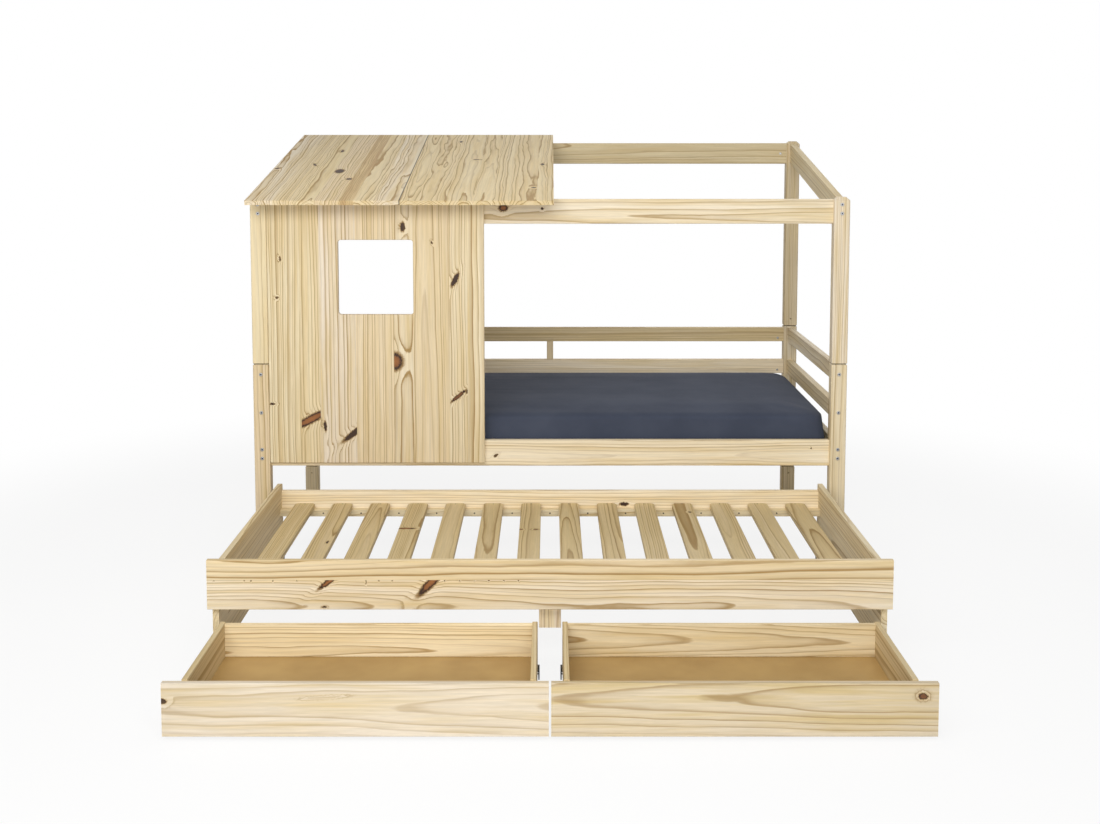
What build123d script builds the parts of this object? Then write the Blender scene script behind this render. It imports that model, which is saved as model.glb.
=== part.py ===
from build123d import *
import os
from math import cos, radians, sin, tan

# House bed with a lean-to roof, a pull-out trundle and two drawers, in millimetres.
# X runs along the bed, -Y is the open front, +Z is up and the floor is at Z = 0.
# The trundle is drawn rolled right out of the bed, and both drawers right out of the trundle.
# The origin is on the floor, in the middle of all that the open bed covers.

# Posts, each a foot, a lower post and an upper post standing on one another
post_wide = 56
post_deep = 45
post_ease = 4
foot_high = 114
lower_post_high = 611
front_post_high = 593
seam_chamfer = 5
foot_chamfer = 2
standing_chamfer = 2.5
tip_chamfer = 12

# Roof, a lean-to that rests on the posts
roof_angle = 11.2
roof_thick = 16
roof_front_overhang = 104
roof_back_overhang = 26
roof_side_inset = 6
roof_past_middle = 13
roof_gap = 1
roof_ease = 2
batten_wide = 27
batten_high = 40
batten_from_post = 150

# Rails between the posts
rail_thick = 25
rail_ease = 3
bed_rail_bottom = 353
bed_rail_high = 93
guard_rail_high = 60
guard_rail_below_seam = 8
rail_gap = 78
top_rail_high = 87
sloping_rail_high = 80
rail_below_roof = 8
spacer_wide = 27

# House panel with its square window, flush with the front of the posts
panel_thick = 18
panel_wide = 766
panel_post_gap = 1
panel_above_rail_bottom = 15
window_size = 265
window_bottom = 902
window_corner = 10
panel_ease = 2

# Slatted base and mattress
slat_count = 14
slat_wide = 70
slat_thick = 18
slat_ease = 1.5
slat_corner = 15
slat_end_gap = 2
bed_slats_from_post = 94
bed_ledger_wide = 27
bed_ledger_high = 18
mattress_long = 2000
mattress_deep = 900
mattress_corner = 75
mattress_above_slats = 0.25
mattress_play = 14

# How far up each level of the mattress lies, and how far its sides are drawn in there
mattress_profile = (
    (0, 16),
    (13, 3),
    (54, 0),
    (93, 3.5),
    (132, 7),
    (142, 26),
    (150, 130),
)

# Trundle
trundle_out = 958
trundle_depth = 951
trundle_clear = 15
trundle_front_high = 145
trundle_front_bottom = 175
trundle_board = 18
trundle_side_inset = 11
trundle_side_top = 294
board_above_floor = 30
trundle_back_high = 86
trundle_ledger_wide = 27
trundle_ledger_high = 24
trundle_ledger_bottom = 187
trundle_slats_from_side = 50
block_wide = 64
block_bottom = 105
block_thick = 22
board_ease = 2

# Drawers
drawer_out = 464
drawer_depth = 423
drawer_front_gap = 6
drawer_front_high = 140
drawer_front_bottom = 11
drawer_front_thick = 18
drawer_board = 15
drawer_side_gap = 19
drawer_middle_gap = 70
drawer_side_top = 155
drawer_back_drop = 3
drawer_bottom_thick = 3
drawer_bottom_up = 24
drawer_groove = 6
groove_slack = 0.25

# Castors, the same under the trundle and under the drawers
castor_long = 46
castor_wide = 26
castor_wall = 3.5
castor_radius = 12.5
castor_tread = 14
castor_axle_radius = 2
castor_bore_slack = 0.08
castor_from_end = 26
castor_corner = 9
castor_lip = 1.5
tread_ease = 1.5

# Bolts, barrel nuts and the pins between post sections
bolt_radius = 3
bolt_slack = 0.5
bolt_head_radius = 6
bolt_head_high = 4
bolt_sink = 1
bolt_sink_slack = 0.8
bolt_in_rail = 45
nut_from_end = 25
nut_radius = 5
nut_slack = 0.3
nut_sunk = 6
nut_shorter = 3
pair_half = 16
offset_bolt = 15
post_pin_radius = 5
post_pin_in = 30
post_pin_slack = 0.3
pilot_radius = 3
pilot_from_seam = 30
pilot_deep = 12

slope = tan(radians(roof_angle))
inner_length = mattress_long
inner_depth = mattress_deep + 2 * mattress_play
bed_depth = inner_depth + 2 * post_deep
roof_back_reach = bed_depth + roof_back_overhang
open_reach = trundle_out + drawer_out
front_y = (open_reach - roof_back_reach) / 2
back_y = front_y + bed_depth
post_face_y = front_y + post_deep
back_post_face_y = back_y - post_deep
half_inner = inner_length / 2
half_outer = half_inner + post_wide
post_x = half_inner + post_wide / 2
front_post_y = front_y + post_deep / 2
back_post_y = back_y - post_deep / 2

lower_post_top = foot_high + lower_post_high
front_post_top = lower_post_top + front_post_high
post_pitch = bed_depth - post_deep
back_post_high = front_post_high + slope * post_pitch
back_post_top = lower_post_top + back_post_high
roof_touch_y = front_y + tip_chamfer

front_rail_y = front_y + panel_thick + rail_thick / 2
back_rail_y = back_y - panel_thick - rail_thick / 2
bed_rail_z = bed_rail_bottom + bed_rail_high / 2
guard_rail_top = lower_post_top - guard_rail_below_seam
guard_rail_z = guard_rail_top - guard_rail_high / 2
middle_rail_z = guard_rail_z - guard_rail_high - rail_gap
front_top_rail_z = front_post_top - rail_below_roof - top_rail_high / 2
back_top_rail_z = back_post_top - rail_below_roof - top_rail_high / 2

trundle_wide = inner_length - 2 * trundle_clear
trundle_inner_half = trundle_wide / 2 - trundle_side_inset - trundle_board
slat_gaps = slat_count - 1
bed_slat_pitch = (inner_length - 2 * bed_slats_from_post - slat_wide) / slat_gaps
trundle_slats_span = 2 * (trundle_inner_half - trundle_slats_from_side)
trundle_slat_pitch = (trundle_slats_span - slat_wide) / slat_gaps

os.makedirs("parts", exist_ok=True)


def keep(piece, label):
    piece.part.label = label
    export_step(piece.part, f"parts/{label}.step")


def under_roof(y):
    """The height of the roof's underside at this depth."""
    return front_post_top + slope * (y - roof_touch_y)


def across_x(x):
    """A plane that faces along X, on which a sketch's axes are Y and Z."""
    return Plane.YZ.offset(x)


def across_y(y):
    """A plane that faces the front, on which a sketch's axes are X and Z."""
    return Plane.XZ.offset(-y)


def bolt_line(x, y, z, way):
    """A plane at this point whose normal is the way that a bolt's head faces."""
    return Plane(origin=(x, y, z), z_dir=way)


# Where every bolt goes: its place on the post's face, the way its head faces, and how far it runs
end_heights = [
    guard_rail_z,
    middle_rail_z,
    bed_rail_z + pair_half,
    bed_rail_z - pair_half,
]
sloping_rail_drop = sloping_rail_high / cos(radians(roof_angle))
front_slope_z = under_roof(post_face_y) - rail_below_roof - sloping_rail_drop / 2
back_slope_z = under_roof(back_post_face_y) - rail_below_roof - sloping_rail_drop / 2
front_end_heights = end_heights + [front_slope_z + pair_half, front_slope_z - pair_half]
back_end_heights = end_heights + [back_slope_z + pair_half, back_slope_z - pair_half]
front_side_heights = [bed_rail_z, front_top_rail_z]
back_side_heights = [
    bed_rail_z,
    middle_rail_z - offset_bolt,
    guard_rail_z - offset_bolt,
    back_top_rail_z,
]


def post_bolts(hand, is_front):
    """The bolt lines of one corner of the bed, with the depth of post that each goes through."""
    face_y = front_y if is_front else back_y
    way_y = (0, -1, 0) if is_front else (0, 1, 0)
    rail_y = front_rail_y if is_front else back_rail_y
    end_list = front_end_heights if is_front else back_end_heights
    side_list = front_side_heights if is_front else back_side_heights
    lines = [(bolt_line(hand * post_x, face_y, z, way_y), post_deep) for z in end_list]
    for z in side_list:
        lines.append((bolt_line(hand * half_outer, rail_y, z, (hand, 0, 0)), post_wide))
    return lines


def bolt_holes(lines, low, high):
    """Counterbored holes for the bolts whose height lies between low and high."""
    for line, through in lines:
        if low < line.origin.Z < high:
            with Locations(line):
                CounterBoreHole(
                    radius=bolt_radius + bolt_slack,
                    counter_bore_radius=bolt_head_radius + bolt_sink_slack,
                    counter_bore_depth=bolt_sink + bolt_head_high,
                    depth=through,
                )


def post_form(x, y, low, high, low_cut, top_cut):
    """One section of a post, its long edges eased and its two ends chamfered."""
    outlines = []
    levels = ((low, low_cut), (low + low_cut, 0), (high - top_cut, 0), (high, top_cut))
    for level, cut in levels:
        with BuildSketch(Plane.XY.offset(level)) as outline:
            with Locations((x, y)):
                RectangleRounded(post_wide - 2 * cut, post_deep - 2 * cut, post_ease)
        outlines.append(outline.sketch.face())
    loft(outlines, ruled=True)


def pin_hole(x, y, seam_z, way):
    """A blind hole for the pin that joins one post section to the next."""
    with Locations(bolt_line(x, y, seam_z, (0, 0, way))):
        Hole(post_pin_radius + post_pin_slack, post_pin_in + post_pin_slack)


def pilot_hole(x, face_y, z, way):
    """A small pilot hole on the post's inner face."""
    with Locations(bolt_line(x, face_y, z, (0, way, 0))):
        Hole(pilot_radius, pilot_deep)


# The four corners: their hand and name, depth and name, and the inner face with its outward way
corners = []
for hand, hand_name in ((-1, "left"), (1, "right")):
    corners.append((hand, hand_name, "front", front_post_y, post_face_y, 1))
    corners.append((hand, hand_name, "back", back_post_y, back_post_face_y, -1))

# Feet, four alike, which lift the bed over its trundle
with BuildPart() as post_feet:
    for hand, hand_name, depth_name, centre_y, inner_face_y, way in corners:
        x = hand * post_x
        post_form(x, centre_y, 0, foot_high, foot_chamfer, seam_chamfer)
        pin_hole(x, centre_y, foot_high, 1)
        pilot_hole(x, inner_face_y, foot_high - pilot_from_seam, way)
keep(post_feet, "post_feet")

# Lower and upper posts
for hand, hand_name, depth_name, centre_y, inner_face_y, way in corners:
    x = hand * post_x
    is_front = depth_name == "front"
    post_top = front_post_top if is_front else back_post_top
    lines = post_bolts(hand, is_front)

    with BuildPart() as lower_post:
        post_form(x, centre_y, foot_high, lower_post_top, standing_chamfer, seam_chamfer)
        bolt_holes(lines, foot_high, lower_post_top)
        pin_hole(x, centre_y, foot_high, -1)
        pin_hole(x, centre_y, lower_post_top, 1)
    keep(lower_post, f"lower_post_{depth_name}_{hand_name}")

    with BuildPart() as upper_post:
        post_form(x, centre_y, lower_post_top, post_top, standing_chamfer, tip_chamfer)
        bolt_holes(lines, lower_post_top, post_top)
        pin_hole(x, centre_y, lower_post_top, -1)
        pilot_hole(x, inner_face_y, lower_post_top + pilot_from_seam, way)
    keep(upper_post, f"upper_post_{depth_name}_{hand_name}")

with BuildPart() as post_pins:
    for hand in (-1, 1):
        for centre_y in (front_post_y, back_post_y):
            for seam_z in (foot_high, lower_post_top):
                with BuildSketch(Plane.XY.offset(seam_z - post_pin_in)):
                    with Locations((hand * post_x, centre_y)):
                        Circle(post_pin_radius)
                extrude(amount=2 * post_pin_in)
keep(post_pins, "post_pins")


def rail_end_holes(end_line, nut_way, rail_deep):
    """A bolt's bore in a rail's end and the cross hole for its barrel nut, from the bolt's line."""
    with Locations(end_line):
        Hole(bolt_radius + bolt_slack, bolt_in_rail)
    middle = end_line.origin - end_line.z_dir * nut_from_end
    face = middle + Vector(nut_way) * (rail_deep / 2)
    with Locations(Plane(origin=face, z_dir=nut_way)):
        Hole(nut_radius + nut_slack, rail_deep - nut_shorter)


# Rails along the bed, bolted through the posts' outer sides into barrel nuts
long_rails = (
    ("bed_rail_front", front_rail_y, bed_rail_z, bed_rail_high, (0, 1, 0), 0),
    ("bed_rail_back", back_rail_y, bed_rail_z, bed_rail_high, (0, -1, 0), 0),
    ("middle_rail_back", back_rail_y, middle_rail_z, guard_rail_high, (0, -1, 0), -offset_bolt),
    ("guard_rail_back", back_rail_y, guard_rail_z, guard_rail_high, (0, -1, 0), -offset_bolt),
    ("top_rail_front", front_rail_y, front_top_rail_z, top_rail_high, (0, 1, 0), 0),
    ("top_rail_back", back_rail_y, back_top_rail_z, top_rail_high, (0, -1, 0), 0),
)
for label, rail_y, rail_z, rail_high, nut_way, bolt_up in long_rails:
    with BuildPart() as rail:
        with BuildSketch(across_x(-half_inner)):
            with Locations((rail_y, rail_z)):
                RectangleRounded(rail_thick, rail_high, rail_ease)
        extrude(amount=inner_length)
        for hand in (-1, 1):
            end_line = bolt_line(hand * half_inner, rail_y, rail_z + bolt_up, (hand, 0, 0))
            rail_end_holes(end_line, nut_way, rail_thick)
    keep(rail, label)

# Level rails across the ends, bolted through the posts' front and back faces
end_rails = (
    ("bed_rail", bed_rail_z, bed_rail_high, (pair_half, -pair_half)),
    ("middle_rail", middle_rail_z, guard_rail_high, (0,)),
    ("guard_rail", guard_rail_z, guard_rail_high, (0,)),
)
for hand, hand_name in ((-1, "left"), (1, "right")):
    for rail_name, rail_z, rail_high, bolt_ups in end_rails:
        with BuildPart() as rail:
            with BuildSketch(across_y(back_post_face_y)):
                with Locations((hand * post_x, rail_z)):
                    RectangleRounded(rail_thick, rail_high, rail_ease)
            extrude(amount=inner_depth)
            for end_y, way in ((post_face_y, (0, -1, 0)), (back_post_face_y, (0, 1, 0))):
                for bolt_up in bolt_ups:
                    end_line = bolt_line(hand * post_x, end_y, rail_z + bolt_up, way)
                    rail_end_holes(end_line, (-hand, 0, 0), rail_thick)
        keep(rail, f"{rail_name}_{hand_name}")

    # The sloping rail keeps its upright ends against the posts
    with BuildPart() as sloping_rail:
        with BuildSketch(across_x(hand * post_x - rail_thick / 2)):
            with BuildLine():
                front_top = (post_face_y, under_roof(post_face_y) - rail_below_roof)
                back_top = (back_post_face_y, under_roof(back_post_face_y) - rail_below_roof)
                Polyline(
                    front_top,
                    back_top,
                    (back_top[0], back_top[1] - sloping_rail_drop),
                    (front_top[0], front_top[1] - sloping_rail_drop),
                    close=True,
                )
            make_face()
        extrude(amount=rail_thick)
        long_edges = sloping_rail.edges().group_by(SortBy.LENGTH)[-1]
        fillet(long_edges, rail_ease)
        for end_y, way, middle_z in (
            (post_face_y, (0, -1, 0), front_slope_z),
            (back_post_face_y, (0, 1, 0), back_slope_z),
        ):
            for bolt_up in (pair_half, -pair_half):
                end_line = bolt_line(hand * post_x, end_y, middle_z + bolt_up, way)
                rail_end_holes(end_line, (-hand, 0, 0), rail_thick)
    keep(sloping_rail, f"top_rail_{hand_name}")

# The short upright that ties the back guard rail to the rail under it
with BuildPart() as rail_spacer:
    with BuildSketch(Plane.XY.offset(middle_rail_z + guard_rail_high / 2)):
        with Locations((0, back_rail_y)):
            RectangleRounded(spacer_wide, rail_thick, rail_ease)
    extrude(amount=rail_gap)
keep(rail_spacer, "rail_spacer")

# Every bolt of the bed frame, its head sunk in the post and its shank in the rail
all_lines = []
for hand in (-1, 1):
    for is_front in (True, False):
        all_lines += post_bolts(hand, is_front)
with BuildPart() as frame_bolts:
    for line, through in all_lines:
        with BuildSketch(line.offset(-bolt_sink)):
            Circle(bolt_head_radius)
        extrude(amount=-bolt_head_high)
        with BuildSketch(line.offset(-bolt_sink - bolt_head_high)):
            Circle(bolt_radius)
        extrude(amount=-(through - bolt_sink - bolt_head_high + nut_from_end - nut_radius))
keep(frame_bolts, "frame_bolts")

with BuildPart() as barrel_nuts:
    for line, through in all_lines:
        middle = line.origin - line.z_dir * (through + nut_from_end)
        runs_along_x = abs(line.z_dir.X) > abs(line.z_dir.Y)
        if runs_along_x:
            inward = 1 if middle.Y < (front_y + back_y) / 2 else -1
            nut_way = Vector(0, inward, 0)
        else:
            nut_way = Vector(-1 if middle.X > 0 else 1, 0, 0)
        open_face = middle + nut_way * (rail_thick / 2 - nut_sunk)
        with BuildSketch(Plane(origin=open_face, z_dir=nut_way)):
            Circle(nut_radius)
        extrude(amount=-(rail_thick - nut_shorter - nut_sunk))
keep(barrel_nuts, "barrel_nuts")

# House panel, an upright board of glued staves with the window sawn out of it
panel_left = -half_inner + panel_post_gap
panel_x = panel_left + panel_wide / 2
panel_bottom = bed_rail_bottom + panel_above_rail_bottom
panel_top = front_top_rail_z + top_rail_high / 2
with BuildPart() as house_panel:
    with BuildSketch(across_y(front_y + panel_thick)):
        with Locations((panel_x, (panel_bottom + panel_top) / 2)):
            Rectangle(panel_wide, panel_top - panel_bottom)
        with Locations((panel_x, window_bottom + window_size / 2)):
            RectangleRounded(window_size, window_size, window_corner, mode=Mode.SUBTRACT)
    extrude(amount=panel_thick)
    front_face = house_panel.faces().sort_by(Axis.Y)[0]
    chamfer(front_face.edges(), panel_ease)
keep(house_panel, "house_panel")

# Roof, two boards side by side down the slope, each of glued staves
roof_left = -half_outer + roof_side_inset
roof_span = roof_past_middle - roof_left
roof_board_wide = (roof_span - roof_gap) / 2
roof_front_y = front_y - roof_front_overhang
roof_back_y = back_y + roof_back_overhang
roof_foot = Vector(0, roof_front_y, under_roof(roof_front_y))
slope_way = Vector(0, cos(radians(roof_angle)), sin(radians(roof_angle)))
roof_long = (roof_back_y - roof_front_y) / cos(radians(roof_angle))
roof_plane = Plane(origin=roof_foot, x_dir=(1, 0, 0), z_dir=(0, -slope_way.Z, slope_way.Y))
roof_starts = (roof_left, roof_left + roof_board_wide + roof_gap)
for start, hand_name in zip(roof_starts, ("left", "right")):
    with BuildPart() as roof_board:
        with BuildSketch(roof_plane):
            with Locations((start, 0)):
                Rectangle(roof_board_wide, roof_long, align=(Align.MIN, Align.MIN))
        extrude(amount=roof_thick)
        chamfer(roof_board.faces().sort_by(Axis.Z)[-1].edges(), roof_ease)
    keep(roof_board, f"roof_board_{hand_name}")

# Battens under the roof, which join its boards and lie against the top rails' inner faces
batten_long = roof_span - post_wide - batten_from_post
with BuildPart() as roof_battens:
    for batten_y in (
        front_rail_y + rail_thick / 2,
        back_rail_y - rail_thick / 2 - batten_wide,
    ):
        near_top = under_roof(batten_y)
        far_top = under_roof(batten_y + batten_wide)
        with BuildSketch(across_x(roof_past_middle - batten_long)):
            with BuildLine():
                Polyline(
                    (batten_y, near_top),
                    (batten_y + batten_wide, far_top),
                    (batten_y + batten_wide, near_top - batten_high),
                    (batten_y, near_top - batten_high),
                    close=True,
                )
            make_face()
        extrude(amount=batten_long)
keep(roof_battens, "roof_battens")


def slats(length, middle_y, bottom_z, pitch):
    """Loose slats laid from front to back, their ends rounded in plan and all edges eased."""
    with BuildSketch(Plane.XY.offset(bottom_z)) as outlines:
        with Locations((0, middle_y)):
            with GridLocations(pitch, 0, slat_count, 1):
                RectangleRounded(slat_wide, length, slat_corner)
    extrude(outlines.sketch, amount=slat_thick)


def ease_slats(slat_deck):
    """Chamfers the long outlines of the slats' upper and lower faces."""
    levels = slat_deck.faces().filter_by(Axis.Z)
    chamfer(levels.edges(), slat_ease)


# Ledgers screwed along the inner faces of the two long bed rails, and the slats on them
ledger_top = bed_rail_bottom + bed_ledger_high
ledger_ys = (
    front_rail_y + rail_thick / 2 + bed_ledger_wide / 2,
    back_rail_y - rail_thick / 2 - bed_ledger_wide / 2,
)
with BuildPart() as bed_ledgers:
    with BuildSketch(across_x(-half_inner)):
        for ledger_y in ledger_ys:
            with Locations((ledger_y, ledger_top - bed_ledger_high / 2)):
                RectangleRounded(bed_ledger_wide, bed_ledger_high, board_ease)
    extrude(amount=inner_length)
keep(bed_ledgers, "bed_ledgers")

rail_to_rail = back_rail_y - front_rail_y - rail_thick
bed_middle_y = (front_rail_y + back_rail_y) / 2
with BuildPart() as bed_slats:
    slats(rail_to_rail - 2 * slat_end_gap, bed_middle_y, ledger_top, bed_slat_pitch)
    ease_slats(bed_slats)
keep(bed_slats, "bed_slats")

# Mattress in its sheet: sides that draw in a little, eased edges and a low crown
mattress_bottom = ledger_top + slat_thick + mattress_above_slats
with BuildPart() as mattress:
    for level, inset in mattress_profile:
        with BuildSketch(Plane.XY.offset(mattress_bottom + level)):
            with Locations((0, bed_middle_y)):
                RectangleRounded(
                    mattress_long - 2 * inset,
                    mattress_deep - 2 * inset,
                    mattress_corner,
                )
    loft(ruled=True)
keep(mattress, "mattress")

# Trundle frame
trundle_front_y = front_y - trundle_out
trundle_back_y = trundle_front_y + trundle_depth
trundle_side_y = trundle_front_y + trundle_board
trundle_side_x = trundle_wide / 2 - trundle_side_inset - trundle_board / 2
trundle_inner_back_y = trundle_back_y - trundle_board

with BuildPart() as trundle_front:
    trundle_front_z = trundle_front_bottom + trundle_front_high / 2
    with BuildSketch(across_x(-trundle_wide / 2)):
        with Locations((trundle_front_y + trundle_board / 2, trundle_front_z)):
            RectangleRounded(trundle_board, trundle_front_high, board_ease)
    extrude(amount=trundle_wide)
keep(trundle_front, "trundle_front")

for hand, hand_name in ((-1, "left"), (1, "right")):
    with BuildPart() as trundle_side:
        with BuildSketch(across_y(trundle_back_y)):
            with Locations((hand * trundle_side_x, (board_above_floor + trundle_side_top) / 2)):
                RectangleRounded(trundle_board, trundle_side_top - board_above_floor, board_ease)
        extrude(amount=trundle_depth - trundle_board)
    keep(trundle_side, f"trundle_side_{hand_name}")

with BuildPart() as trundle_back:
    trundle_back_z = trundle_ledger_bottom + trundle_back_high / 2
    with BuildSketch(across_x(-trundle_inner_half)):
        with Locations((trundle_back_y - trundle_board / 2, trundle_back_z)):
            RectangleRounded(trundle_board, trundle_back_high, board_ease)
    extrude(amount=2 * trundle_inner_half)
keep(trundle_back, "trundle_back")

trundle_ledger_ys = (
    trundle_side_y + trundle_ledger_wide / 2,
    trundle_inner_back_y - trundle_ledger_wide / 2,
)
with BuildPart() as trundle_ledgers:
    with BuildSketch(across_x(-trundle_inner_half)):
        for ledger_y in trundle_ledger_ys:
            with Locations((ledger_y, trundle_ledger_bottom + trundle_ledger_high / 2)):
                RectangleRounded(trundle_ledger_wide, trundle_ledger_high, board_ease)
    extrude(amount=2 * trundle_inner_half)
keep(trundle_ledgers, "trundle_ledgers")

trundle_slat_bottom = trundle_ledger_bottom + trundle_ledger_high
trundle_well_deep = trundle_inner_back_y - trundle_side_y
trundle_middle_y = (trundle_side_y + trundle_inner_back_y) / 2
trundle_slat_long = trundle_well_deep - 2 * slat_end_gap
with BuildPart() as trundle_slats:
    slats(trundle_slat_long, trundle_middle_y, trundle_slat_bottom, trundle_slat_pitch)
    ease_slats(trundle_slats)
keep(trundle_slats, "trundle_slats")

# The block behind the front ledger that parts the two drawers
with BuildPart() as centre_block:
    with BuildSketch(Plane.XY.offset(block_bottom)):
        with Locations((0, trundle_side_y + trundle_ledger_wide + block_thick / 2)):
            RectangleRounded(block_wide, block_thick, board_ease)
    extrude(amount=trundle_slat_bottom - block_bottom)
keep(centre_block, "centre_block")


def castor_housing(x, y):
    """A moulded fork under a board's edge, its round-cornered cheeks carrying the axle."""
    slot_wide = castor_wide - 2 * castor_wall
    plate_bottom = board_above_floor - castor_wall
    with BuildSketch(across_x(x - castor_wide / 2)) as cheek:
        with Locations((y, (castor_lip + board_above_floor) / 2)):
            RectangleRounded(castor_long, board_above_floor - castor_lip, castor_corner)
        with Locations((y, board_above_floor - castor_corner / 2)):
            Rectangle(castor_long, castor_corner)
    extrude(cheek.sketch, amount=castor_wide)
    with BuildSketch(across_x(x - slot_wide / 2)) as slot:
        with Locations((y, plate_bottom / 2)):
            Rectangle(castor_long, plate_bottom)
    extrude(slot.sketch, amount=slot_wide, mode=Mode.SUBTRACT)
    with BuildSketch(across_x(x - castor_wide / 2)) as axle:
        with Locations((y, castor_radius)):
            Circle(castor_axle_radius)
    extrude(axle.sketch, amount=castor_wide)


def castor_wheel(x, y):
    """A wheel with eased rims and a bored hub, between the fork's cheeks."""
    half_tread = castor_tread / 2
    with BuildSketch(Plane.XY.offset(castor_radius)) as half_section:
        with BuildLine():
            Polyline(
                (x - half_tread, y + castor_axle_radius + castor_bore_slack),
                (x - half_tread, y + castor_radius - tread_ease),
                (x - half_tread + tread_ease, y + castor_radius),
                (x + half_tread - tread_ease, y + castor_radius),
                (x + half_tread, y + castor_radius - tread_ease),
                (x + half_tread, y + castor_axle_radius + castor_bore_slack),
                close=True,
            )
        make_face()
    revolve(half_section.sketch, axis=Axis((x, y, castor_radius), (1, 0, 0)))


trundle_castor_ys = (trundle_side_y + castor_from_end, trundle_back_y - castor_from_end)
with BuildPart() as trundle_castors:
    for hand in (-1, 1):
        for castor_y in trundle_castor_ys:
            castor_housing(hand * trundle_side_x, castor_y)
keep(trundle_castors, "trundle_castors")

for castor_y, depth_name in zip(trundle_castor_ys, ("front", "back")):
    with BuildPart() as trundle_wheels:
        for hand in (-1, 1):
            castor_wheel(hand * trundle_side_x, castor_y)
    keep(trundle_wheels, f"trundle_wheels_{depth_name}")

# Drawers
drawer_front_y = trundle_front_y - drawer_out
drawer_side_y = drawer_front_y + drawer_front_thick
drawer_back_y = drawer_front_y + drawer_depth
drawer_front_wide = (trundle_wide - drawer_front_gap) / 2
drawer_outer = trundle_inner_half - drawer_side_gap
drawer_inner = drawer_middle_gap / 2
drawer_bottom_z = board_above_floor + drawer_bottom_up
drawer_castor_ys = (drawer_side_y + castor_from_end, drawer_back_y - castor_from_end)

for hand, hand_name in ((-1, "left"), (1, "right")):
    side_xs = (hand * (drawer_outer - drawer_board / 2), hand * (drawer_inner + drawer_board / 2))
    box_x = (side_xs[0] + side_xs[1]) / 2
    box_inner_wide = abs(side_xs[0] - side_xs[1]) - drawer_board
    front_x = hand * (drawer_front_gap / 2 + drawer_front_wide / 2)
    groove_high = drawer_bottom_thick + 2 * groove_slack
    groove_z = drawer_bottom_z + drawer_bottom_thick / 2

    with BuildPart() as drawer_front:
        with BuildSketch(across_x(front_x - drawer_front_wide / 2)):
            front_z = drawer_front_bottom + drawer_front_high / 2
            with Locations((drawer_front_y + drawer_front_thick / 2, front_z)):
                RectangleRounded(drawer_front_thick, drawer_front_high, board_ease)
        extrude(amount=drawer_front_wide)
        # The groove that holds the drawer's bottom
        with BuildSketch(across_x(box_x - box_inner_wide / 2 - drawer_groove)):
            with Locations((drawer_side_y - drawer_groove / 2, groove_z)):
                Rectangle(drawer_groove, groove_high)
        extrude(amount=box_inner_wide + 2 * drawer_groove, mode=Mode.SUBTRACT)
    keep(drawer_front, f"drawer_{hand_name}_front")

    for side_x, side_name in zip(side_xs, ("outer", "inner")):
        into_box = 1 if side_x < box_x else -1
        with BuildPart() as drawer_side:
            with BuildSketch(across_y(drawer_back_y)):
                with Locations((side_x, (board_above_floor + drawer_side_top) / 2)):
                    RectangleRounded(drawer_board, drawer_side_top - board_above_floor, board_ease)
                groove_x = side_x + into_box * (drawer_board - drawer_groove) / 2
                with Locations((groove_x, groove_z)):
                    Rectangle(drawer_groove, groove_high, mode=Mode.SUBTRACT)
            extrude(amount=drawer_depth - drawer_front_thick)
        keep(drawer_side, f"drawer_{hand_name}_side_{side_name}")

    back_top = drawer_side_top - drawer_back_drop
    back_bottom = drawer_bottom_z + drawer_bottom_thick + groove_slack
    with BuildPart() as drawer_back:
        with BuildSketch(across_x(box_x - box_inner_wide / 2)):
            with Locations((drawer_back_y - drawer_board / 2, (back_bottom + back_top) / 2)):
                RectangleRounded(drawer_board, back_top - back_bottom, board_ease)
        extrude(amount=box_inner_wide)
    keep(drawer_back, f"drawer_{hand_name}_back")

    # The hardboard bottom slides in its grooves under the back board
    with BuildPart() as drawer_bottom:
        with BuildSketch(Plane.XY.offset(drawer_bottom_z)):
            bottom_front_y = drawer_side_y - drawer_groove + groove_slack
            with Locations((box_x, (bottom_front_y + drawer_back_y) / 2)):
                bottom_wide = box_inner_wide + 2 * (drawer_groove - groove_slack)
                Rectangle(bottom_wide, drawer_back_y - bottom_front_y)
        extrude(amount=drawer_bottom_thick)
    keep(drawer_bottom, f"drawer_{hand_name}_bottom")

    with BuildPart() as drawer_castors:
        for side_x in side_xs:
            for castor_y in drawer_castor_ys:
                castor_housing(side_x, castor_y)
    keep(drawer_castors, f"drawer_{hand_name}_castors")

    for castor_y, depth_name in zip(drawer_castor_ys, ("front", "back")):
        with BuildPart() as drawer_wheels:
            for side_x in side_xs:
                castor_wheel(side_x, castor_y)
        keep(drawer_wheels, f"drawer_{hand_name}_wheels_{depth_name}")
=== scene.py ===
import math
import random

import bpy
from mathutils import Euler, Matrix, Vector, noise


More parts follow.
